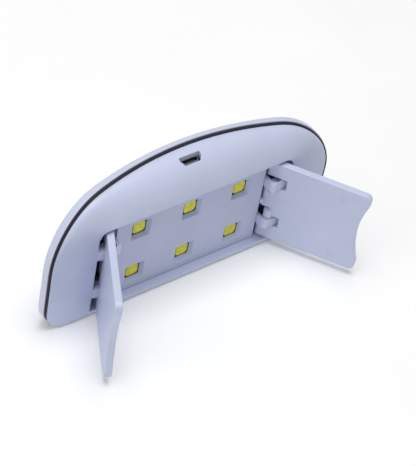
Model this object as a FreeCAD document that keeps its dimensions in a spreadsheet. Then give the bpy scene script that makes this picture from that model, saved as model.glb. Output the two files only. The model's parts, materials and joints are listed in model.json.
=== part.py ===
"""Folding six-LED nail lamp, standing on its long straight edge.

Frame: X runs along the straight edge, Y from the LED face towards the domed back, Z up.
Sub-parts are drawn with the LED face at y = 0. The last step moves them all forwards by
half the body's depth, which puts the origin at the middle of the standing face.
Millimetres throughout.
"""
import FreeCAD, Part
import math
import os
from FreeCAD import Placement, Rotation, Vector

DIMENSIONS = {
    # outline of the body seen from the front
    "shell_height": 59.6, "crown_radius": 340.0, "crown_angle": 7.2, "shoulder_radius": 26.3,
    "foot_corner": 10.5, "corner_ease": 0.02, "below_floor": 8.0,
    # depth of the body: the parting line and the back are arched along X
    "seam_depth": 13.44, "seam_sag": 12.0, "back_depth": 20.0, "back_sag": 11.5,
    "rim_depth": 15.6, "rim_sag": 10.0, "front_shoulder": 15.1, "back_shoulder": 14.5,
    "shell_wall": 1.8, "foot_round": 1.8, "cover_overhang": 1.2, "cover_wall": 2.1,
    "cover_lift": 0.12,
    "seam_gap": 1.2, "gasket_inset": 1.05, "gasket_width": 2.0, "gasket_depth": 1.5,
    "gasket_foot": 2.2, "gasket_lip": 0.55, "lip_foot": 0.5,
    # recess that takes the panel and the folded legs
    "recess_half": 46.2, "recess_low": 2.8, "recess_top": 44.5, "recess_depth": 3.4,
    "recess_corner": 4.0, "recess_foot": 1.0, "pan_wall": 1.5, "pocket_depth": 6.4,
    "panel_half": 35.7, "panel_thickness": 1.6, "panel_gap": 0.1, "ledge_thickness": 1.2,
    # LEDs, three columns by two rows
    "led_pitch": 24.0, "led_row_pitch": 23.4, "led_low_row": 11.1, "led_size": 5.8,
    "led_body": 1.3, "lens_size": 5.4, "lens_rise": 0.6, "window_inner": 6.4,
    "window_outer": 9.0, "window_corner": 1.3, "led_board_front": 6.6, "board_thickness": 1.2,
    "led_board_half": 33.0, "led_board_low": 5.6, "led_board_top": 40.0,
    "screw_column": 30.0, "screw_low": 8.4, "screw_high": 37.4, "boss_radius": 2.2,
    "screw_shank": 0.8, "screw_pilot": 0.85, "screw_head": 1.7, "screw_head_height": 1.2,
    "screw_reach": 3.9,
    # control board with the power inlet, timer and switch
    "control_half": 21.0, "control_low": 41.0, "control_top": 55.0, "control_front": 9.3,
    "post_column": 16.0, "post_height": 49.0, "post_radius": 2.5, "clearance_hole": 1.1,
    "inlet_centre": -1.5, "inlet_rear_half": 3.75, "inlet_front_half": 2.85,
    "inlet_depth": 2.6, "inlet_bend": 1.3, "inlet_low": 50.2, "inlet_mouth": 57.0,
    "inlet_metal": 0.3, "port_rear_half": 4.85, "port_front_half": 3.5, "port_rear": 9.4,
    "port_bend": 7.85, "port_front": 6.15,
    "switch_height": 44.6, "switch_half": 3.0, "switch_body": 3.5, "plunger_radius": 1.75,
    "plunger_rise": 1.6, "button_radius": 5.5, "button_hole": 5.8, "button_rise": 0.6,
    "button_low": 17.0, "button_stem": 2.4,
    "indicator_column": 10.5, "indicator_radius": 1.1, "indicator_rise": 0.25,
    "chip_thickness": 1.4, "lead_radius": 0.6, "lead_column": 13.0, "lead_spacing": 2.6,
    "lead_bend": 2.2, "lead_rise": 2.8, "lead_top": 43.2, "lead_foot": 35.6,
    # folding legs and their hinges
    "pivot_half": 39.4, "pivot_depth": 1.25, "leg_low": 3.2, "leg_top": 43.1,
    "leg_thickness": 3.0, "leg_offset": 1.35, "leg_reach": 39.1, "leg_hollow": 2.6,
    "leg_hollow_half": 15.0, "leg_corner": 2.6, "leg_root": 4.2, "root_round": 1.4,
    "right_splay": 32.5, "left_splay": 29.25,
    "knuckle_centre": 12.95, "knuckle_height": 4.3, "knuckle_front": 1.45,
    "knuckle_back": 3.6, "knuckle_root": 6.4, "knuckle_slope": 42.4, "knuckle_round": 2.0,
    "throat_half": 1.75, "notch_gap": 0.5, "notch_reach": 4.9, "stub_radius": 1.95,
    "stub_fit": 0.05, "stub_window": 2.1, "stub_visible": 4.2, "stub_shade": 0.4,
    "catch_front": 2.5, "catch_low": 22.4, "catch_height": 2.0, "catch_width": 0.9,
    "catch_hook": 0.5, "stub_boss": 2.0, "stub_in_knuckle": 2.9, "ejector_radius": 1.75,
    "ejector_depth": 0.15, "ejector_reach": 28.7, "ejector_edge": 5.3,
}

doc = FreeCAD.newDocument("NailLamp")
sheet = doc.addObject("Spreadsheet::Sheet", "Sizes")
for row, (alias, number) in enumerate(DIMENSIONS.items(), start=1):
    sheet.set(f"A{row}", alias.replace("_", " "))
    sheet.set(f"B{row}", str(number))
    sheet.setAlias(f"B{row}", alias)
doc.recompute()

NODES = []
CLOSE = 0.001  # two lengths closer than this are the same, in millimetres
PARALLEL = 0.99  # a direction's share along an axis when it runs that way


def size(alias):
    """A driving dimension as the sheet holds it."""
    return float(sheet.get(alias))


def bind(expression):
    """An expression in words of the sheet, with each alias given its sheet."""
    words = expression.replace("(", " ( ").replace(")", " ) ").split()
    return " ".join(f"Sizes.{word}" if word in DIMENSIONS else word for word in words)


def bound(obj, **expressions):
    """Binds properties of an object; x, y and z place it."""
    places = {"x": "Placement.Base.x", "y": "Placement.Base.y", "z": "Placement.Base.z"}
    for prop, expression in expressions.items():
        obj.setExpression(places.get(prop, prop), bind(expression))
    return obj


def box(name, x, y, z, length, width, height):
    """A block whose low corner is x, y, z."""
    return bound(doc.addObject("Part::Box", name), x=x, y=y, z=z, Length=length,
                 Width=width, Height=height)


def pin(name, x, y, z, radius, reach, along="y"):
    """A cylinder from x, y, z along +Y or +Z."""
    obj = doc.addObject("Part::Cylinder", name)
    if along == "y":
        obj.Placement = Placement(Vector(), Rotation(Vector(1, 0, 0), -90))
    return bound(obj, x=x, y=y, z=z, Radius=radius, Height=reach)


def fuse(name, pieces):
    obj = doc.addObject("Part::MultiFuse", name)
    obj.Shapes = pieces
    return obj


def cut(name, base, tool):
    obj = doc.addObject("Part::Cut", name)
    obj.Base = base
    obj.Tool = tool
    return obj


def group(name, pieces):
    """Separate solids kept as one node."""
    obj = doc.addObject("Part::Compound", name)
    obj.Links = pieces
    return obj


def node(obj, label):
    """Names a finished sub-part and lists it for export."""
    obj.Label = label
    NODES.append(obj)
    return obj


def solid_node(label, shape):
    """A sub-part whose shape is worked out from the sheet by a function."""
    obj = doc.addObject("Part::Feature", label)
    obj.Shape = shape
    obj.Placement = Placement()
    return node(obj, label)


# ---------------------------------------------------------------- body outline and arches
def arch(x, depth, sag):
    """Depth of an arched surface at x: a circle that falls by sag at the shell's side."""
    radius = (side_half() ** 2 + sag ** 2) / (2 * sag)
    return depth - radius + math.sqrt(radius ** 2 - x ** 2)


def crown_end():
    """Where the crown arc meets the shoulder arc, and the centre of the shoulder arc."""
    turn = math.radians(size("crown_angle"))
    heading = Vector(math.sin(turn), 0, math.cos(turn))
    meet = Vector(0, 0, size("shell_height") - size("crown_radius")) + heading * size("crown_radius")
    return heading, meet - heading * size("shoulder_radius")


def side_half():
    """Half the width of the front shell."""
    return crown_end()[1].x + size("shoulder_radius")


def straight_side(inset, top, steps=8):
    """Points up the right side from below the floor."""
    low = -size("below_floor")
    return [Vector(side_half() - inset, 0, low + (top - low) * step / steps)
            for step in range(steps)]


def rounded_side(inset, top, floor, corner, arc_steps=3, steps=4, last=75.0):
    """Points round the lower right corner, from just under the floor, and on up the side."""
    hub = Vector(side_half() - inset - corner, 0, floor + corner)
    angles = [math.radians(last * (1 - step / arc_steps)) for step in range(arc_steps)]
    arc = [hub + Vector(math.cos(angle), 0, -math.sin(angle)) * corner for angle in angles]
    heading = Vector(-math.sin(angles[0]), 0, -math.cos(angles[0]))
    tail = arc[0] + heading * (angles[0] - angles[1]) * corner
    side = [Vector(hub.x + corner, 0, hub.z + (top - hub.z) * step / steps)
            for step in range(steps)]
    return [tail] + arc + side


def outline_stations(inset, floor=0.0, corner=0.0, shoulder_steps=8, crown_steps=16):
    """Points round the outline, from the left foot over the crown to the right foot.

    A corner radius bends the sides in at the floor; without one they run straight down.
    """
    heading, centre = crown_end()
    turn = math.radians(size("crown_angle"))
    if corner:
        points = rounded_side(inset, centre.z, floor, corner)
    else:
        points = straight_side(inset, centre.z)
    for step in range(shoulder_steps):
        angle = step / shoulder_steps * (math.pi / 2 - turn)
        spoke = Vector(math.cos(angle), 0, math.sin(angle))
        points.append(centre + spoke * (size("shoulder_radius") - inset))
    for step in range(crown_steps // 2):
        angle = turn * (1 - 2 * step / crown_steps)
        spoke = Vector(math.sin(angle), 0, math.cos(angle))
        hub = Vector(0, 0, size("shell_height") - size("crown_radius"))
        points.append(hub + spoke * (size("crown_radius") - inset))
    top = [Vector(0, 0, size("shell_height") - inset)]
    left = [Vector(-point.x, 0, point.z) for point in points]
    return left + top + points[::-1]


def outline_face(inset, foot=None, corner=0.0):
    """The outline as a flat face at y = 0; foot is its lower edge, corner rounds it."""
    heading, centre = crown_end()
    foot = -size("below_floor") if foot is None else foot
    radius = size("shoulder_radius") - inset
    side = side_half() - inset
    crown = centre + heading * radius
    middle = math.pi / 4 - math.radians(size("crown_angle")) / 2
    bulge = centre + Vector(math.cos(middle), 0, math.sin(middle)) * radius
    mirror = lambda point: Vector(-point.x, point.y, point.z)
    low = Vector(side, 0, foot + corner)
    high = Vector(side, 0, centre.z)
    top = Vector(0, 0, size("shell_height") - inset)
    edges = [
        Part.LineSegment(low, high), Part.Arc(high, bulge, crown),
        Part.Arc(crown, top, mirror(crown)), Part.Arc(mirror(crown), mirror(bulge), mirror(high)),
        Part.LineSegment(mirror(high), mirror(low)),
    ]
    if corner:
        toe = Vector(side - corner, 0, foot)
        half = corner * (1 - math.sqrt(0.5))
        bend = Vector(side - half, 0, foot + half)
        edges += [Part.Arc(mirror(low), mirror(bend), mirror(toe)),
                  Part.LineSegment(mirror(toe), toe), Part.Arc(toe, bend, low)]
    else:
        edges.append(Part.LineSegment(mirror(low), low))
    return Part.Face(Part.Wire([edge.toShape() for edge in edges]))


def outline_prism(inset, near, far, foot=None, corner=0.0):
    """The outline extruded in depth from near to far."""
    face = outline_face(inset, foot, corner)
    face.translate(Vector(0, near, 0))
    return face.extrude(Vector(0, far - near, 0))


def arch_block(depth, sag, near=-10.0, reach=90.0, height=90.0):
    """Everything in front of an arched surface."""
    ends = [Vector(x, arch(side_half(), depth, sag), -height / 3) for x in (-side_half(), side_half())]
    slope = (arch(side_half(), depth, sag) - arch(side_half() - 1, depth, sag))
    crown = Vector(0, depth, -height / 3)
    tails = [Vector(side * reach, ends[0].y + slope * (reach - side_half()), -height / 3)
             for side in (-1, 1)]
    corners = [Vector(side * reach, near, -height / 3) for side in (-1, 1)]
    edges = [
        Part.LineSegment(corners[0], tails[0]), Part.LineSegment(tails[0], ends[0]),
        Part.Arc(ends[0], crown, ends[1]), Part.LineSegment(ends[1], tails[1]),
        Part.LineSegment(tails[1], corners[1]), Part.LineSegment(corners[1], corners[0]),
    ]
    face = Part.Face(Part.Wire([edge.toShape() for edge in edges]))
    return face.extrude(Vector(0, 0, height * 4 / 3))


def closed_form(rows, near, far=None):
    """A solid from rows of points, closed by straight walls to the depths near and far.

    With no far depth the last row is already flat.
    """
    shoulder = Part.BSplineSurface()
    shoulder.interpolate(rows)
    first_u, last_u, first_v, last_v = shoulder.bounds()
    feet = [shoulder.vIso(first_v).toShape(), shoulder.vIso(last_v).toShape()]
    faces = [shoulder.toShape()]
    for rim, depth in ((shoulder.uIso(first_u), near), (shoulder.uIso(last_u), far)):
        flat = rim.copy()
        if depth is not None:
            for index, pole in enumerate(rim.getPoles(), start=1):
                flat.setPole(index, Vector(pole.x, depth, pole.z))
            faces.append(Part.makeRuledSurface(rim.toShape(), flat.toShape()))
            feet += [Part.LineSegment(rim.StartPoint, flat.StartPoint).toShape(),
                     Part.LineSegment(rim.EndPoint, flat.EndPoint).toShape()]
        foot = Part.LineSegment(flat.StartPoint, flat.EndPoint).toShape()
        faces.append(Part.Face(Part.Wire([flat.toShape(), foot])))
        feet.append(foot)
    faces.append(Part.Face(Part.Wire(Part.__sortEdges__(feet))))
    skin = Part.makeCompound(faces)
    skin.sewShape()
    solid = Part.makeSolid(skin.Shells[0])
    return solid if solid.Volume > 0 else solid.reversed()


def shoulder_rows(reach, start, floor=0.0, corner=0.0, rings=10, first_ring=5.0):
    """Rows of outline points over a quarter-ellipse shoulder, each with its rise from 0 to 1."""
    first = math.radians(first_ring)
    for ring in range(rings + 1):
        angle = first + (math.pi / 2 - first) * ring / rings
        inset = start + reach * (1 - math.cos(angle))
        yield outline_stations(inset, floor, corner), math.sin(angle)


def front_form(wall):
    """The pillowed front; wall moves the whole form inwards, for the inside of the shell."""
    rows = []
    for points, rise in shoulder_rows(size("front_shoulder") - wall, wall):
        rows.append([Vector(p.x, wall + (1 - rise) * arch(p.x, size("seam_depth"), size("seam_sag")),
                            p.z) for p in points])
    return closed_form(rows, size("back_depth") * 3 / 2)


def cover_form(wall, crest=0.25):
    """The domed back; its shoulder runs up to a crest just past the arched back, which trims it."""
    rows = []
    back = size("back_depth") - wall
    start = wall - size("cover_overhang")
    corner = size("foot_corner") + size("cover_overhang") - wall
    for points, rise in shoulder_rows(size("back_shoulder"), start, wall, corner):
        row = []
        for p in points:
            base = arch(p.x, size("rim_depth") - wall / 2, size("rim_sag"))
            top = arch(p.x, back, size("back_sag")) + crest
            row.append(Vector(p.x, base + rise * (top - base), p.z))
        rows.append(row)
    form = closed_form(rows, -size("below_floor"), size("back_depth") * 3 / 2)
    return form.common(arch_block(back, size("back_sag"), -2 * size("below_floor")))


def above(height):
    """All the room above a height."""
    tall = size("shell_height")
    return block(-2 * tall, -tall, height, 4 * tall, 2 * tall, 2 * tall)


def corner_cuts(grow):
    """What the two rounded lower corners leave out of the body, grown outwards by grow."""
    radius = size("foot_corner")
    deep = 2 * size("shell_height")
    cuts = []
    for side in (-1, 1):
        middle = side * (side_half() - radius)
        corner = block(min(middle, middle + side * 2 * radius), -deep / 2, -radius, 2 * radius,
                       deep, 2 * radius)
        keep = Part.makeCylinder(radius + grow + size("corner_ease"), deep,
                                 Vector(middle, -deep / 2, radius), Vector(0, 1, 0))
        cuts.append(corner.cut(keep))
    return cuts


def block(x, y, z, length, width, height):
    """A plain box by numbers, for the computed shapes."""
    return Part.makeBox(length, width, height, Vector(x, y, z))


def runs_along_y(edge):
    return abs(edge.tangentAt(edge.FirstParameter).y) > PARALLEL


def rounded_block(half, low, top, near, far, corner, foot):
    """A box in depth whose upper and lower edges along Y are rounded."""
    shape = block(-half, near, low, 2 * half, far - near, top - low)
    upright = [edge for edge in shape.Edges if runs_along_y(edge)]
    upper = [edge for edge in upright if edge.CenterOfMass.z > (low + top) / 2]
    shape = shape.makeFillet(corner, upper)
    lower = [edge for edge in shape.Edges
             if runs_along_y(edge) and abs(edge.CenterOfMass.z - low) < CLOSE]
    return shape.makeFillet(foot, lower)


# ------------------------------------------------------------------------- the two shells
def knuckle(side, low):
    """A hinge strap from the wall beside the panel to the recess wall.

    Its bore is open at the back through a throat that the leg's pin snaps past.
    """
    front = -size("knuckle_front")
    edge = size("panel_half") + size("panel_gap")
    root = size("panel_half") - size("pan_wall") / 2
    seat = size("recess_depth") + size("panel_thickness") + size("panel_gap")
    wall = size("recess_half") + size("pan_wall") / 2
    back = size("knuckle_back")
    deep = size("knuckle_root")
    pivot = size("pivot_half")
    turn = size("knuckle_round")
    soft = turn * (1 - math.sqrt(0.5))
    corners = [(edge + turn, front), (size("knuckle_slope"), front), (wall, 0), (wall, back),
               (pivot, back), (pivot, deep), (root, deep), (root, seat), (edge, seat),
               (edge, front + turn)]
    path = [Part.LineSegment(Vector(*start, 0), Vector(*end, 0))
            for start, end in zip(corners, corners[1:])]
    path.append(Part.Arc(Vector(edge, front + turn, 0), Vector(edge + soft, front + soft, 0),
                         Vector(edge + turn, front, 0)))
    bar = Part.Face(Part.Wire([line.toShape() for line in path]))
    bar = bar.extrude(Vector(0, 0, size("knuckle_height")))
    bore = Part.makeCylinder(size("stub_radius") + size("stub_fit"), size("knuckle_height"),
                             Vector(pivot, size("pivot_depth"), 0))
    throat = block(pivot - size("throat_half"), size("pivot_depth"), 0,
                   2 * size("throat_half"), deep, size("knuckle_height"))
    bar = bar.cut([bore, throat])
    bar.translate(Vector(0, 0, low))
    return bar if side > 0 else bar.mirror(Vector(), Vector(1, 0, 0))


def knuckle_lows():
    """Lower faces of the two hinge bars on each side."""
    middle = (size("leg_low") + size("leg_top")) / 2
    first = size("knuckle_centre") - size("knuckle_height") / 2
    return [first, 2 * middle - first - size("knuckle_height")]


def catch(side):
    """A small hook from the ledge that holds the panel's edge between the two hinge bars."""
    panel = size("panel_half")
    edge = panel + size("panel_gap")
    root = panel - size("pan_wall") / 2
    front = size("catch_front")
    deep = size("knuckle_root")
    face = size("recess_depth") - size("panel_gap")
    seat = size("recess_depth") + size("panel_thickness") + size("panel_gap")
    low = size("catch_low")
    tall = size("catch_height")
    stem = block(edge, front, low, size("catch_width"), deep - front, tall)
    foot = block(root, seat, low, edge - root, deep - seat, tall)
    hook = block(edge - size("catch_hook"), front, low, size("catch_hook"), face - front, tall)
    whole = stem.fuse([foot, hook])
    return whole if side > 0 else whole.mirror(Vector(), Vector(1, 0, 0))


def port_opening():
    """The six-sided cut-out for the power inlet, through the top of the shoulder."""
    plan = [("port_rear_half", "port_rear"), ("port_rear_half", "port_bend"),
            ("port_front_half", "port_front")]
    right = [Vector(size(half), size(depth), 0) for half, depth in plan]
    left = [Vector(-point.x, point.y, 0) for point in right[::-1]]
    face = Part.Face(Part.makePolygon(right + left + right[:1]))
    tool = face.extrude(Vector(0, 0, size("below_floor") * 2))
    tool.translate(Vector(size("inlet_centre"), 0, size("inlet_low")))
    return tool


def post(x, z, near, far, radius):
    return Part.makeCylinder(radius, far - near, Vector(x, near, z), Vector(0, 1, 0))


def front_shell():
    """The LED-side shell with its recess pan, hinge bars and board posts."""
    wall = size("shell_wall")
    lip = size("pan_wall")
    half = size("recess_half")
    low = size("recess_low")
    top = size("recess_top")
    back_of_panel = size("recess_depth") + size("panel_thickness")
    pocket = size("pocket_depth")
    panel = size("panel_half")

    ledge = block(-panel, 0, low - lip, 2 * panel, back_of_panel + size("ledge_thickness"),
                  top - low + 2 * lip)
    posts = [post(side * size("post_column"), size("post_height"), 0, size("control_front"),
                  size("post_radius")) for side in (-1, 1)]
    pockets = []
    for side in (-1, 1):
        start = panel - lip if side > 0 else -half - lip
        pockets.append(block(start, 0, low - lip, half + 2 * lip - panel, pocket + lip,
                             top - low + 2 * lip))
    cavity = front_form(wall).common(above(wall)).cut(corner_cuts(-wall))
    cavity = cavity.cut([ledge] + posts + pockets)
    body = front_form(0.0).common(above(0.0)).cut(corner_cuts(0.0)).cut(cavity)
    body = body.common(arch_block(size("seam_depth"), size("seam_sag")))

    recess = rounded_block(half, low, top, -size("below_floor"), size("recess_depth"),
                           size("recess_corner"), size("recess_foot"))
    pits = rounded_block(half, low, top, 0, pocket, size("recess_corner"), size("recess_foot"))
    pits = pits.cut(block(-panel, -1, 0, 2 * panel, 2 * pocket, 2 * top))
    open_floor = half - panel - 2 * lip
    floors = [block(side * (half + panel) / 2 - open_floor / 2, pocket - lip, low + lip,
                    open_floor, 4 * lip, top - low - 2 * lip) for side in (-1, 1)]
    seat = block(-panel, 0, low, 2 * panel, back_of_panel, top - low)
    window = block(lip - panel, 0, low + lip, 2 * (panel - lip), 3 * pocket, top - low - 2 * lip)
    pilots = [post(side * size("post_column"), size("post_height"), size("screw_reach"),
                   size("control_front"), size("screw_pilot")) for side in (-1, 1)]
    body = body.cut([recess, pits, seat, window, port_opening(), foot_edge()] + floors + pilots)
    bars = [knuckle(side, height) for side in (-1, 1) for height in knuckle_lows()]
    return body.fuse(bars + [catch(-1), catch(1)]).removeSplitter()


def foot_edge():
    """The corner taken off along the front of the standing face, leaving a round edge."""
    radius = size("foot_round")
    length = 4 * side_half()
    corner = block(-length / 2, -1, -1, length, 1 + radius, 1 + radius)
    keep = Part.makeCylinder(radius, length, Vector(-length / 2, radius, radius), Vector(1, 0, 0))
    return corner.cut(keep)


def rear_cover():
    """The domed rear cover with its button hole and indicator holes."""
    wall = size("cover_wall")
    outer = cover_form(0.0).common(above(size("cover_lift")))
    inner = cover_form(wall).common(above(wall))
    parting = arch_block(size("seam_depth") + size("seam_gap"), size("seam_sag"),
                         -2 * size("below_floor"))
    body = outer.cut(inner).cut(parting)
    far = 2 * size("back_depth")
    holes = [post(0, size("switch_height"), size("seam_depth"), far, size("button_hole"))]
    for side in (-1, 1):
        holes.append(post(side * size("indicator_column"), size("switch_height"),
                          size("seam_depth"), far, size("indicator_radius")))
    return body.cut(holes).removeSplitter()


def gasket_ring(inset, foot, width, far):
    """A ring under the outline's edge that ends at an arched surface far behind the parting line."""
    corner = size("foot_corner") - inset
    near = -size("gasket_width")
    reach = 2 * size("back_depth")
    ring = outline_prism(inset, near, reach, foot, corner)
    hole = outline_prism(inset + width, 2 * near, reach - near, foot + width, corner - width)
    return ring.cut(hole).common(arch_block(far, size("seam_sag")))


def seam_gasket():
    """The dark ring between the two shells: a lip that fills the gap and a tail inside the cover."""
    inset = size("gasket_inset")
    width = size("gasket_width")
    depth = size("seam_depth")
    tail = gasket_ring(inset, size("gasket_foot"), width, depth + size("gasket_depth"))
    lip_width = inset + size("gasket_lip") + width / 2
    lip = gasket_ring(-size("gasket_lip"), size("lip_foot"), lip_width,
                      depth + size("seam_gap") - size("panel_gap"))
    return tail.fuse(lip).cut(arch_block(depth, size("seam_sag"))).removeSplitter()


solid_node("front_shell", front_shell())
solid_node("rear_cover", rear_cover())
solid_node("seam_gasket", seam_gasket())

# --------------------------------------------------------------- panel, LED board and LEDs
COLUMNS = ("- led_pitch", "0 * led_pitch", "led_pitch")
ROWS = ("led_low_row", "led_low_row + led_row_pitch")
SCREWS = [(x, z) for x in ("- screw_column", "screw_column") for z in ("screw_low", "screw_high")]
PANEL_BACK = "recess_depth + panel_thickness"

plate = box("panel_plate", "panel_gap - panel_half", "recess_depth", "recess_low + panel_gap",
            "2 * ( panel_half - panel_gap )", "panel_thickness",
            "recess_top - recess_low - 2 * panel_gap")
bosses = [pin("panel_boss", x, PANEL_BACK, z, "boss_radius",
              f"led_board_front - ( {PANEL_BACK} )") for x, z in SCREWS]
funnels = []
for x in COLUMNS:
    for z in ROWS:
        funnel = doc.addObject("Part::Wedge", "window")
        bound(funnel, x=x, y="recess_depth", z=z, Ymax="panel_thickness",
              Xmin="- window_outer / 2", Xmax="window_outer / 2", Zmin="- window_outer / 2",
              Zmax="window_outer / 2", X2min="- window_inner / 2", X2max="window_inner / 2",
              Z2min="- window_inner / 2", Z2max="window_inner / 2")
        funnel.Ymin = 0
        doc.recompute()
        rounded = doc.addObject("Part::Fillet", "rounded_window")
        rounded.Base = funnel
        rounded.Edges = [(index, size("window_corner"), size("window_corner"))
                         for index, edge in enumerate(funnel.Shape.Edges, start=1)
                         if edge.BoundBox.YLength > CLOSE and edge.BoundBox.XLength > CLOSE]
        funnels.append(rounded)
pilots = [pin("panel_pilot", x, "recess_depth + panel_thickness / 2", z, "screw_pilot", "10 * screw_shank")
          for x, z in SCREWS]
node(cut("panel", fuse("panel_form", [plate] + bosses), fuse("panel_holes", funnels + pilots)),
     "reflector_panel")

board = box("led_plate", "- led_board_half", "led_board_front", "led_board_low",
            "2 * led_board_half", "board_thickness", "led_board_top - led_board_low")
holes = [pin("led_plate_hole", x, "led_board_front - board_thickness", z, "clearance_hole",
             "3 * board_thickness") for x, z in SCREWS]
node(cut("led_board_body", board, fuse("led_plate_holes", holes)), "led_board")


def at_leds(name, y, span, depth):
    """A square block in front of the LED board at each LED."""
    return [box(name, f"{x} - ( {span} ) / 2", y, f"{z} - ( {span} ) / 2", span, depth, span)
            for x in COLUMNS for z in ROWS]


node(group("packages", at_leds("package", "led_board_front - led_body", "led_size", "led_body")),
     "led_packages")
node(group("lenses", at_leds("lens", "led_board_front - led_body - lens_rise", "lens_size",
                             "lens_rise")), "led_lenses")


def screw(name, x, y, z, tip):
    """A pan-head screw seated at depth y with its tip at tip."""
    shank = pin(f"{name}_shank", x, tip, z, "screw_shank", f"{y} - ( {tip} )")
    head = pin(f"{name}_head", x, y, z, "screw_head", "screw_head_height")
    return fuse(name, [shank, head])


node(group("led_screws", [screw("led_screw", x, "led_board_front + board_thickness", z,
                                "recess_depth + panel_thickness * 5 / 8") for x, z in SCREWS]),
     "led_board_screws")

# -------------------------------------------- control board with inlet, switch and timer
CONTROL_BACK = "control_front + board_thickness"
POSTS = ("- post_column", "post_column")

board = box("control_plate", "- control_half", "control_front", "control_low",
            "2 * control_half", "board_thickness", "control_top - control_low")
holes = [pin("control_hole", x, "control_front - board_thickness", "post_height",
             "clearance_hole", "3 * board_thickness") for x in POSTS]
node(cut("control_body", board, fuse("control_holes", holes)), "control_board")
node(group("post_screws", [screw("post_screw", x, CONTROL_BACK, "post_height",
                                 "screw_reach + screw_head_height") for x in POSTS]),
     "board_screws")


def inlet_prism(inside, low, high):
    """The inlet's six-sided section between two heights, inset by the metal's thickness."""
    rear = size("control_front") - inside
    front = size("control_front") - size("inlet_depth") + inside
    bend = rear - size("inlet_bend")
    wide = size("inlet_rear_half") - inside
    narrow = size("inlet_front_half") - inside
    right = [Vector(wide, rear, 0), Vector(wide, bend, 0), Vector(narrow, front, 0)]
    left = [Vector(-point.x, point.y, 0) for point in right[::-1]]
    prism = Part.Face(Part.makePolygon(right + left + right[:1])).extrude(Vector(0, 0, high - low))
    prism.translate(Vector(size("inlet_centre"), 0, low))
    return prism


def inlet_tongue():
    """The contact tongue on the insulating block that fills the foot of the inlet."""
    low = size("inlet_low")
    metal = size("inlet_metal")
    foot = inlet_prism(metal, low, low + 3 * metal)
    half = size("inlet_front_half") - 2 * metal
    middle = size("control_front") - size("inlet_depth") / 2
    tongue = block(size("inlet_centre") - half, middle - metal, low, 2 * half, 2 * metal,
                   size("inlet_mouth") - low - 2 * metal)
    return foot.fuse(tongue).removeSplitter()


INLET_ENDS = (size("inlet_low"), size("inlet_mouth"))
solid_node("micro_usb_shell", inlet_prism(0.0, *INLET_ENDS).cut(
    inlet_prism(size("inlet_metal"), *INLET_ENDS)))
solid_node("micro_usb_tongue", inlet_tongue())

switch = box("switch_case", "- switch_half", CONTROL_BACK, "switch_height - switch_half",
             "2 * switch_half", "switch_body", "2 * switch_half")
well = pin("switch_well", "0", f"{CONTROL_BACK} + switch_body / 2", "switch_height",
           "plunger_radius + stub_fit", "switch_body")
node(cut("switch", switch, well), "tact_switch_base")
PLUNGER_LOW = f"{CONTROL_BACK} + switch_body - 2 * plunger_rise / 3"
PLUNGER_TOP = f"{CONTROL_BACK} + switch_body + plunger_rise"
plunger = pin("plunger", "0", PLUNGER_LOW, "switch_height", "plunger_radius",
              f"{PLUNGER_TOP} - ( {PLUNGER_LOW} )")
node(group("switch_plunger", [plunger]), "tact_switch_plunger")
stem = pin("button_stem", "0", PLUNGER_TOP, "switch_height", "button_stem",
           f"button_low - ( {PLUNGER_TOP} )")
flange = pin("button_flange", "0", "button_low", "switch_height", "button_radius + 2 * button_rise",
             "button_rise")
cap = pin("button_cap", "0", "button_low", "switch_height", "button_radius",
          "back_depth + button_rise - button_low")
node(fuse("button", [stem, flange, cap]), "power_button")

lamps = []
windows = []
for x in ("- indicator_column", "indicator_column"):
    lamps.append(box("status_lamp", f"{x} - indicator_radius", CONTROL_BACK,
                     "switch_height - indicator_radius / 2", "2 * indicator_radius",
                     "indicator_radius", "indicator_radius"))
    rod = pin("indicator_rod", x, "back_depth - 2 * cover_wall", "switch_height",
              "indicator_radius", "2 * cover_wall - indicator_rise")
    windows.append(rod)
node(group("status_lamps", lamps), "status_leds")
node(group("indicators", windows), "indicator_lenses")


def on_control(label, columns, z, length, height):
    """Chips in a row on the back of the control board."""
    node(group(f"{label}_row", [box(f"{label}_chip", x, CONTROL_BACK, z, length, "chip_thickness", height)
                                for x in columns]), label)


on_control("timer_chip", ["5 * switch_half / 3"], "post_height - chip_thickness",
           "4 * chip_thickness", "3 * chip_thickness")
on_control("driver_mosfet", ["- 3 * switch_half"], "post_height", "2 * chip_thickness",
           "2 * chip_thickness")
on_control("ballast_resistors", [f"control_half - {step} * 2 * chip_thickness" for step in (1, 2, 3)],
           "control_low + chip_thickness / 2", "chip_thickness", "2 * chip_thickness")
on_control("input_capacitor", ["- chip_thickness"], "control_top - 3 * chip_thickness",
           "2 * chip_thickness", "2 * chip_thickness")


def lead(x):
    """An insulated wire that loops from the control board down to the LED board."""
    start = size("control_front") + size("board_thickness")
    end = size("led_board_front") + size("board_thickness")
    bend = size("lead_bend")
    peak = start + size("lead_rise")
    top = size("lead_top")
    foot = size("lead_foot")
    soft = bend * (1 - math.sqrt(0.5))
    path = Part.Wire([edge.toShape() for edge in (
        Part.LineSegment(Vector(x, start, top), Vector(x, peak - bend, top)),
        Part.Arc(Vector(x, peak - bend, top), Vector(x, peak - soft, top - soft),
                 Vector(x, peak, top - bend)),
        Part.LineSegment(Vector(x, peak, top - bend), Vector(x, peak, foot + bend)),
        Part.Arc(Vector(x, peak, foot + bend), Vector(x, peak - soft, foot + soft),
                 Vector(x, peak - bend, foot)),
        Part.LineSegment(Vector(x, peak - bend, foot), Vector(x, end, foot)))])
    section = Part.Wire(Part.makeCircle(size("lead_radius"), Vector(x, start, top),
                                        Vector(0, 1, 0)))
    return path.makePipeShell([section], True, False)


solid_node("power_lead_red", lead(-size("lead_column") - size("lead_spacing") / 2))
solid_node("power_lead_black", lead(-size("lead_column") + size("lead_spacing") / 2))


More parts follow.
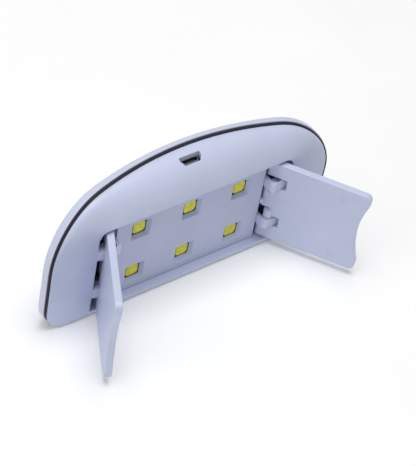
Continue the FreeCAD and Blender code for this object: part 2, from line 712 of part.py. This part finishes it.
# -------------------------------------------------------------------------- folding legs
def leg(name, side, splay):
    """A leg drawn along its own X from the pivot, then stood open at its hinge.

    The plate lies outside the pivot, so the pins stand proud of its inner face.
    """
    middle = "( leg_low + leg_top ) / 2"
    outside = f"{side} * leg_offset"
    plate = box(f"{name}_plate", "- leg_root", f"{outside} - leg_thickness / 2", "leg_low",
                "leg_root + leg_reach", "leg_thickness", "leg_top - leg_low")
    hollow_radius = "( leg_hollow_half ^ 2 + leg_hollow ^ 2 ) / ( 2 * leg_hollow )"
    hollow = pin(f"{name}_hollow", f"leg_reach - leg_hollow + {hollow_radius}",
                 "- 2 * leg_thickness", middle, hollow_radius, "4 * leg_thickness")
    lows = ["knuckle_centre - knuckle_height / 2"]
    lows.append(f"leg_low + leg_top - ( {lows[0]} ) - knuckle_height")
    cuts = [hollow] + [
        box(f"{name}_notch", "- 2 * leg_root", "- 2 * leg_thickness", f"{low} - notch_gap",
            "2 * leg_root + notch_reach", "4 * leg_thickness", "knuckle_height + 2 * notch_gap")
        for low in lows]
    cuts.append(box(f"{name}_window", "- 2 * leg_root", "- 2 * leg_thickness",
                    f"{lows[0]} + knuckle_height", "2 * leg_root + stub_window",
                    "4 * leg_thickness", "stub_visible"))
    cuts += [pin(f"{name}_mark", "ejector_reach",
                 f"{outside} - {side} * leg_thickness / 2 - ejector_depth", z, "ejector_radius",
                 "2 * ejector_depth")
             for z in ("leg_low + ejector_edge", "leg_top - ejector_edge")]
    pins = [
        pin(f"{name}_low_pin", "0", "0", f"{lows[0]} + knuckle_height - stub_in_knuckle",
            "stub_radius", "stub_in_knuckle + stub_visible - stub_shade", "z"),
        pin(f"{name}_high_pin", "0", "0", f"{lows[1]} - stub_boss", "stub_radius",
            "stub_boss + stub_in_knuckle", "z"),
        bound(doc.addObject("Part::Sphere", f"{name}_boss"), z=f"{lows[1]} - stub_boss",
              Radius="stub_radius"),
        box(f"{name}_web", "0", f"{outside} - leg_thickness / 2",
            f"{lows[0]} + knuckle_height + notch_gap", "stub_window", "leg_thickness",
            "stub_visible - notch_gap"),
    ]
    slab = cut(f"{name}_slab", plate, fuse(f"{name}_cuts", cuts))
    doc.recompute()
    rounded = doc.addObject("Part::Fillet", f"{name}_rounded")
    rounded.Base = slab
    rounded.Edges = rounded_ends(slab.Shape)
    whole = fuse(f"{name}_whole", [rounded] + pins)
    whole.Placement = Placement(
        Vector(side * size("pivot_half"), size("pivot_depth"), 0),
        Rotation(Vector(0, 0, 1), side * size(splay) - 90))
    return whole


def rounded_ends(shape):
    """The fillet list of a leg: the tip's corners and the long edges of the root."""
    chosen = []
    for index, edge in enumerate(shape.Edges, start=1):
        along = edge.tangentAt(edge.FirstParameter)
        middle = edge.CenterOfMass
        if middle.x > size("leg_reach") - CLOSE and abs(along.y) > PARALLEL:
            chosen.append((index, size("leg_corner"), size("leg_corner")))
        if middle.x < CLOSE - size("leg_root") and abs(along.z) > PARALLEL:
            chosen.append((index, size("root_round"), size("root_round")))
    return chosen


node(leg("right", 1, "right_splay"), "right_leg")
node(leg("left", -1, "left_splay"), "left_leg")

# ------------------------------------------------- the origin, the checks and the export
doc.recompute()
for obj in doc.Objects:
    if "Invalid" in obj.State or "Error" in obj.State:
        raise RuntimeError(f"{obj.Name} did not compute")
os.makedirs("parts", exist_ok=True)
for obj in NODES:
    obj.Placement.Base.y -= size("back_depth") / 2
doc.recompute()
for obj in NODES:
    if obj.Shape.isNull() or not obj.Shape.isValid() or not obj.Shape.Solids:
        raise RuntimeError(f"{obj.Label} has no sound solid")
    obj.Shape.exportStep(f"parts/{obj.Label}.step")
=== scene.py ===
"""Looks for the folding nail lamp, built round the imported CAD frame. Metres, row frame."""
import json
import math

import bmesh
import bpy
from mathutils import Matrix, Vector


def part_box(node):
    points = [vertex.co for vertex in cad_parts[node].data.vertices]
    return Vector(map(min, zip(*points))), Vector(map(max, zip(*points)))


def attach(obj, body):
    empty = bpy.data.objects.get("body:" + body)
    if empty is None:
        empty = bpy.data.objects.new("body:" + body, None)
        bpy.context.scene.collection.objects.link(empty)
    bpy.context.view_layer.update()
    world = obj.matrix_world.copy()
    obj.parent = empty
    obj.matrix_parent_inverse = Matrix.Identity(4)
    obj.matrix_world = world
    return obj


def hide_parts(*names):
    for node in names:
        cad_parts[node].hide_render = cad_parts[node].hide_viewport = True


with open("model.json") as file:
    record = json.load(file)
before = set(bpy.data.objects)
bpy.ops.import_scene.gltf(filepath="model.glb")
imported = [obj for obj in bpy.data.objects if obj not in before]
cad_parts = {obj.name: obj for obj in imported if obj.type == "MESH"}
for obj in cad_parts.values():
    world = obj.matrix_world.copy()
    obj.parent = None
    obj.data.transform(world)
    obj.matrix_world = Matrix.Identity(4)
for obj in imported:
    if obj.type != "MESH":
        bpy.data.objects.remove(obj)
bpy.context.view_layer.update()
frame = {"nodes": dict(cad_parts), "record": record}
MM = 0.001
scene = bpy.context.scene

# ------------------------------------------------------------------ camera
CAMERA_AT = Vector((-0.3943, -0.4229, 0.5727))
VIEW = Vector((0.5038, 0.5175, -0.6916))
RIGHT = Vector((0.7990, -0.5834, 0.1454))
SENSOR = 36.0  # millimetres, like the focal length
FOCAL_LENGTH = 157.324


def make_camera():
    """The camera, which looks along VIEW with RIGHT to its right."""
    data = bpy.data.cameras.new("camera")
    data.sensor_width = SENSOR
    data.lens = FOCAL_LENGTH
    data.clip_start = 0.01
    camera = bpy.data.objects.new("camera", data)
    scene.collection.objects.link(camera)
    back = -VIEW.normalized()
    right = (RIGHT - back * RIGHT.dot(back)).normalized()
    up = back.cross(right)
    camera.matrix_world = Matrix.Translation(CAMERA_AT) @ Matrix((right, up, back)).transposed().to_4x4()
    scene.camera = camera


make_camera()

# --------------------------------------------------------------- materials


class Paint:
    """Builds one node material: a base colour with soft variation, and roughness and bump."""

    def __init__(self, name):
        self.material = bpy.data.materials.new(name)
        self.material.use_nodes = True
        self.tree = self.material.node_tree
        self.shader = self.tree.nodes["Principled BSDF"]
        coords = self.tree.nodes.new("ShaderNodeTexCoord")
        self.where = coords.outputs["Object"]

    def node(self, kind, **values):
        made = self.tree.nodes.new(kind)
        for key, value in values.items():
            if key in made.inputs:
                made.inputs[key].default_value = value
            else:
                setattr(made, key, value)
        return made

    def link(self, out, into):
        self.tree.links.new(out, into)

    def noise(self, size, detail=3.0, roughness=0.5):
        """Noise whose features are about size metres across."""
        made = self.node("ShaderNodeTexNoise", Scale=1 / size, Detail=detail, Roughness=roughness)
        self.link(self.where, made.inputs["Vector"])
        return made.outputs["Fac"]

    def spread(self, value, low, high, start=0.3, end=0.7):
        """A value from start to end carried to low to high."""
        made = self.node("ShaderNodeMapRange")
        made.inputs["From Min"].default_value = start
        made.inputs["From Max"].default_value = end
        made.inputs["To Min"].default_value = low
        made.inputs["To Max"].default_value = high
        self.link(value, made.inputs["Value"])
        return made.outputs["Result"]

    def colours(self, value, dark, light, start=0.3, end=0.7):
        made = self.node("ShaderNodeValToRGB")
        made.color_ramp.elements[0].position = start
        made.color_ramp.elements[1].position = end
        made.color_ramp.elements[0].color = (*dark, 1)
        made.color_ramp.elements[1].color = (*light, 1)
        self.link(value, made.inputs["Fac"])
        self.link(made.outputs["Color"], self.shader.inputs["Base Color"])
        return made

    def bump(self, height, depth, strength=1.0, after=None):
        made = self.node("ShaderNodeBump", Distance=depth, Strength=strength)
        self.link(height, made.inputs["Height"])
        if after:
            self.link(after, made.inputs["Normal"])
        self.link(made.outputs["Normal"], self.shader.inputs["Normal"])
        return made.outputs["Normal"]

    def set(self, **values):
        for key, value in values.items():
            self.shader.inputs[key.replace("_", " ")].default_value = value
        return self


def shade(colour, factor):
    return tuple(min(1.0, part * factor) for part in colour)


FLOW_SIZE = 18 * MM
HAZE_SIZE = 4 * MM
RIPPLE_SIZE = 9 * MM
RIPPLE_DEPTH = 0.02 * MM
GRAIN_SIZE = 0.35 * MM
GRAIN_DEPTH = 0.004 * MM
TONE_SWING = 0.03


def moulded(name, colour, roughness):
    """Injection-moulded plastic: faint flow mottling, fine spark-erosion grain and handling haze."""
    paint = Paint(name)
    flow = paint.noise(FLOW_SIZE, 3.0, 0.55)
    paint.colours(flow, shade(colour, 1 - TONE_SWING), shade(colour, 1 + TONE_SWING))
    haze = paint.noise(HAZE_SIZE, 5.0, 0.65)
    paint.link(paint.spread(haze, roughness - 0.05, roughness + 0.06), paint.shader.inputs["Roughness"])
    fine = paint.noise(GRAIN_SIZE, 4.0, 0.6)
    ripple = paint.bump(paint.noise(RIPPLE_SIZE, 2.0, 0.5), RIPPLE_DEPTH, 0.4)
    paint.bump(fine, GRAIN_DEPTH, 0.7, ripple)
    paint.set(IOR=1.5)
    return paint.material


LILAC = (0.555, 0.598, 0.775)
SHELL = moulded("shell_plastic", LILAC, 0.38)
COVER = moulded("cover_plastic", (0.570, 0.608, 0.765), 0.34)
LEG = moulded("leg_plastic", (0.550, 0.595, 0.775), 0.40)
# The panel's lilac is darker and bluer than the shell's: partly the plate's own tone, partly painted
# shade of the recess it sits in.
PANEL = moulded("panel_plastic_with_painted_shade", (0.480, 0.520, 0.705), 0.46)
BUTTON = moulded("button_plastic", (0.555, 0.590, 0.740), 0.30)
DARK = moulded("dark_plastic", (0.014, 0.013, 0.016), 0.5)
# Near-black strip in the seam between shell and cover: a rubber gasket whose darkness also paints the
# shade of the gap.
SEAM_SHADE_GASKET = moulded("gasket_rubber_and_seam_shade", (0.010, 0.006, 0.018), 0.7)
CERAMIC = moulded("ceramic_chip", (0.42, 0.31, 0.20), 0.55)


def simple(name, dark, light, roughness, metallic=0.0, size=1.0 * MM, **values):
    """A small part's finish: two tones of one colour with patchy roughness."""
    paint = Paint(name)
    tone = paint.noise(size, 4.0, 0.6)
    paint.colours(tone, dark, light)
    patch = paint.noise(size * 0.6, 3.0, 0.5)
    paint.link(paint.spread(patch, roughness - 0.05, roughness + 0.08), paint.shader.inputs["Roughness"])
    paint.bump(paint.noise(size * 0.25, 3.0, 0.6), 0.004 * MM, 0.6)
    paint.set(Metallic=metallic, **values)
    return paint.material


STEEL = simple("screw_steel", (0.42, 0.43, 0.45), (0.6, 0.61, 0.63), 0.34, 1.0)
INLET = simple("inlet_steel", (0.55, 0.55, 0.57), (0.72, 0.72, 0.74), 0.24, 1.0, 0.6 * MM)
BOARD = simple("board_mask", (0.02, 0.07, 0.035), (0.03, 0.10, 0.05), 0.35, 0.0, 2 * MM)
PACKAGE = simple("led_package", (0.05, 0.045, 0.05), (0.09, 0.08, 0.09), 0.4)
LENS = simple("led_phosphor", (0.62, 0.57, 0.010), (0.78, 0.77, 0.03), 0.34, 0.0, 1.4 * MM)
BOND = simple("led_bond_dot", (0.20, 0.19, 0.01), (0.26, 0.25, 0.02), 0.5)
CLEAR = simple("indicator_clear", (0.75, 0.78, 0.86), (0.85, 0.88, 0.95), 0.15, 0.0, 1 * MM,
               Transmission_Weight=0.7)
CHIP_LED = simple("status_led", (0.7, 0.7, 0.6), (0.85, 0.85, 0.8), 0.3)
RED = simple("lead_red", (0.45, 0.015, 0.012), (0.58, 0.03, 0.02), 0.4)
BLACK = simple("lead_black", (0.012, 0.012, 0.013), (0.025, 0.025, 0.027), 0.42)

FINISH = {
    "front_shell": SHELL, "rear_cover": COVER, "gasket": SEAM_SHADE_GASKET, "leg": LEG, "panel": PANEL,
    "board": BOARD, "led_package": PACKAGE, "led_lens": LENS, "screw": STEEL,
    "inlet_metal": INLET, "dark_plastic": DARK, "ceramic": CERAMIC, "button": BUTTON,
    "indicator": CLEAR, "status_led": CHIP_LED, "lead_red": RED, "lead_black": BLACK,
}
for entry in frame["record"]["subparts"]:
    node = frame["nodes"][entry["node"]]
    for slot in node.material_slots:
        slot.material = FINISH[entry["material_slot"]]

# --------------------------------------------------- moulded edges on CAD nodes
NODE_BODY = {
    node: body for body, nodes in frame["record"]["behaviour"]["bodies"].items() for node in nodes
}


FINE_FACE = 0.12 * MM * MM  # faces smaller than this belong to shallow marks
WELD = 0.002 * MM
FLAT = math.radians(0.4)  # faces closer to level than this are joined
NORMAL_WEIGHT = 80


def softened(name, width, segments=3, corner=32.0, chosen=None):
    """A copy of a CAD node with its sharp edges rounded, which stands for the node.

    chosen, given both ends of a sharp edge, says whether that edge is rounded.
    Sharp edges left alone, and those round shallow marks, stay crisp.
    """
    mesh = frame["nodes"][name].data.copy()
    if "custom_normal" in mesh.attributes:
        mesh.attributes.remove(mesh.attributes["custom_normal"])
    shape = bmesh.new()
    shape.from_mesh(mesh)
    bmesh.ops.remove_doubles(shape, verts=shape.verts, dist=WELD)
    bmesh.ops.dissolve_limit(shape, angle_limit=FLAT, verts=shape.verts, edges=shape.edges)
    weight = shape.edges.layers.float.new("bevel_weight_edge")
    for edge in shape.edges:
        if edge.is_manifold and edge.calc_face_angle() > math.radians(corner):
            wide = min(face.calc_area() for face in edge.link_faces) > FINE_FACE
            if wide and (chosen is None or chosen(*(end.co for end in edge.verts))):
                edge[weight] = 1.0
            else:
                edge.smooth = False
    shape.to_mesh(mesh)
    shape.free()
    for polygon in mesh.polygons:
        polygon.use_smooth = True
    piece = bpy.data.objects.new(name + "_moulding", mesh)
    scene.collection.objects.link(piece)
    edges = piece.modifiers.new("edges", "BEVEL")
    edges.width = width
    edges.segments = segments
    edges.limit_method = "WEIGHT"
    edges.use_clamp_overlap = False
    edges.miter_outer = "MITER_ARC"
    normals = piece.modifiers.new("normals", "WEIGHTED_NORMAL")
    normals.weight = NORMAL_WEIGHT
    normals.keep_sharp = True
    stands_for(piece, name)
    return piece


def stands_for(piece, name):
    """Makes a piece ride with a CAD node's body and hides that node."""
    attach(piece, NODE_BODY[name])
    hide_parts(name)


PANEL_LOW, PANEL_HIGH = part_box("reflector_panel")
RECESS_REACH = 11.6 * MM  # from the panel's side past the recess wall
STRAP_END = 9.2 * MM  # from the panel's side to where the hinge straps meet the recess wall
RECESS_EDGE = 1.4 * MM
STRAP_FOOT = 5 * MM  # the straps' joins to the wall lie from this far above the panel's foot
STRAP_HEAD = 6 * MM  # to this far below its top


def in_recess(*ends):
    """Edges of the recess and of the hinge straps, clear of where the straps meet the wall."""
    reach = PANEL_HIGH.x + RECESS_REACH
    for end in ends:
        if abs(end.x) > reach or not PANEL_LOW.z - RECESS_EDGE < end.z < PANEL_HIGH.z + RECESS_EDGE:
            return False
        at_wall = abs(end.x) > PANEL_HIGH.x + STRAP_END
        if at_wall and PANEL_LOW.z + STRAP_FOOT < end.z < PANEL_HIGH.z - STRAP_HEAD:
            return False
    return True


softened("front_shell", 0.3 * MM, chosen=in_recess)
softened("rear_cover", 0.4 * MM)
softened("left_leg", 0.45 * MM)
softened("right_leg", 0.45 * MM)
softened("reflector_panel", 0.12 * MM)
softened("power_button", 0.35 * MM)


# --------------------------------------------------------------- LED lenses
PACKAGE_SIZE = 5.8 * MM
LENS_SIZE = 5.7 * MM
LENS_CORNER = 1.5 * MM
LENS_RINGS = 8
LENS_RIM = 0.55  # share of the lens's depth that its rim is set back
LENS_RISE = 0.78  # height of the dome, as a share of that set-back
DOME = 0.8
RIDGE = 0.45
RIDGE_SLANT = 0.35
RIDGE_WIDTH = 0.22  # share of the lens's half width
DOT_RADIUS = 0.28 * MM
DOT_TAPER = 0.7
DOT_DEPTH = 0.1 * MM
DOT_SIDES = 12
DOT_RIGHT = 0.1  # shares of the lens's half width
DOT_UP = 0.42


def rounded_square(half, corner, steps=6):
    """Points round a square with round corners, in the plane of X and Z."""
    points = []
    for quarter in range(4):
        middle = math.radians(45 + 90 * quarter)
        hub = Vector((math.copysign(half - corner, math.cos(middle)), 0,
                      math.copysign(half - corner, math.sin(middle))))
        for step in range(steps + 1):
            angle = math.radians(90 * quarter + 90 * step / steps)
            points.append(hub + Vector((math.cos(angle), 0, math.sin(angle))) * corner)
    return points


def lens_height(place, half, rise):
    """How far the phosphor stands forward of its rim: a low dome with a faint ridge across it."""
    across = max(0.0, 1 - (place.x ** 2 + place.z ** 2) / (2 * half ** 2))
    tilt = place.z + RIDGE_SLANT * place.x
    ridge = math.exp(-(tilt / (RIDGE_WIDTH * half)) ** 2)
    return rise * (across * DOME + RIDGE * ridge * across)


def make_lenses():
    """A domed phosphor square with round corners in each of the six LEDs."""
    low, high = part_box("led_packages")
    front, back = (corner.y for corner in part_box("led_lenses"))
    middle = PACKAGE_SIZE / 2
    shape = bmesh.new()
    for x in (low.x + middle, 0.0, high.x - middle):
        for z in (low.z + middle, high.z - middle):
            one_lens(shape, Vector((x, 0, z)), front, back, LENS_SIZE / 2)
    mesh = bpy.data.meshes.new("led_phosphor_domes")
    shape.to_mesh(mesh)
    shape.free()
    mesh.materials.append(LENS)
    mesh.materials.append(BOND)
    piece = bpy.data.objects.new("led_phosphor_domes", mesh)
    scene.collection.objects.link(piece)
    for polygon in mesh.polygons:
        polygon.use_smooth = True
    stands_for(piece, "led_lenses")


def one_lens(shape, centre, front, back, half):
    """Rings from the back rim, up the straight side and over the dome to the middle of the face."""
    set_back = (back - front) * LENS_RIM
    rim = front + set_back
    rise = set_back * LENS_RISE
    rings = [[shape.verts.new(centre + point + Vector((0, back, 0)))
              for point in rounded_square(half, LENS_CORNER)]]
    for ring in range(LENS_RINGS):
        share = 1 - ring / LENS_RINGS
        rings.append([])
        for point in rounded_square(half, LENS_CORNER):
            place = point * share
            depth = rim - lens_height(place, half, rise)
            rings[-1].append(shape.verts.new(centre + place + Vector((0, depth, 0))))
    for outer, inner in zip(rings, rings[1:]):
        for index, corner in enumerate(outer):
            after = (index + 1) % len(outer)
            shape.faces.new((corner, inner[index], inner[after], outer[after]))
    middle = shape.verts.new(centre + Vector((0, rim - lens_height(Vector(), half, rise), 0)))
    last = rings[-1]
    for index, corner in enumerate(last):
        shape.faces.new((corner, middle, last[(index + 1) % len(last)]))
    shape.faces.new(rings[0])
    dot_at = Vector((DOT_RIGHT * half, 0, DOT_UP * half))
    surface = Vector((0, rim - lens_height(dot_at, half, rise), 0))
    turned = Matrix.Rotation(math.pi / 2, 4, "X")
    dot = bmesh.ops.create_cone(shape, cap_ends=True, segments=DOT_SIDES, radius1=DOT_RADIUS,
                                radius2=DOT_RADIUS * DOT_TAPER, depth=DOT_DEPTH,
                                matrix=Matrix.Translation(centre + dot_at + surface) @ turned)
    for face in {face for vert in dot["verts"] for face in vert.link_faces}:
        face.material_index = 1


make_lenses()

# ------------------------------------------------------- floor and lights
FLOOR_REACH = 3.0
FLOOR_GLOW = 0.05
ROOM_COLOUR = (1.0, 1.0, 1.0, 1)
ROOM_STRENGTH = 0.37
SOFTBOX = 0.7
AIM = (0, 0, 0.02)
SOFTBOXES = {  # place in metres, power in watts
    "top_softbox": ((0, 0, 1.1), 7.2),
    "high_left_softbox": ((-0.65, 0, 0.9), 1.65),
    "left_softbox": ((-1.05, -0.1, 0.4), 0.9),
}


def make_floor():
    """A wide pale floor under the standing face."""
    mesh = bpy.data.meshes.new("floor")
    reach = FLOOR_REACH
    mesh.from_pydata([(-reach, -reach, 0), (reach, -reach, 0), (reach, reach, 0), (-reach, reach, 0)],
                     [], [(0, 1, 2, 3)])
    floor = bpy.data.objects.new("floor", mesh)
    scene.collection.objects.link(floor)
    paint = Paint("floor_paper")
    paint.colours(paint.noise(60 * MM, 2.0), (0.93, 0.93, 0.93), (0.95, 0.95, 0.95))
    paint.set(Roughness=0.9, Specular_IOR_Level=0.1, Emission_Strength=FLOOR_GLOW)
    paint.shader.inputs["Emission Color"].default_value = (1, 1, 1, 1)
    mesh.materials.append(paint.material)


def softbox(name, place, power):
    """A square soft light aimed at the lamp."""
    data = bpy.data.lights.new(name, "AREA")
    data.shape = "RECTANGLE"
    data.size = SOFTBOX
    data.size_y = SOFTBOX
    data.energy = power
    light = bpy.data.objects.new(name, data)
    scene.collection.objects.link(light)
    light.location = place
    light.rotation_euler = (Vector(AIM) - Vector(place)).to_track_quat("-Z", "Y").to_euler()


make_floor()
world = bpy.data.worlds.new("studio")
scene.world = world
world.use_nodes = True
world.node_tree.nodes["Background"].inputs["Color"].default_value = ROOM_COLOUR
world.node_tree.nodes["Background"].inputs["Strength"].default_value = ROOM_STRENGTH
for softbox_name, (softbox_place, softbox_power) in SOFTBOXES.items():
    softbox(softbox_name, softbox_place, softbox_power)
scene.view_settings.view_transform = "Standard"
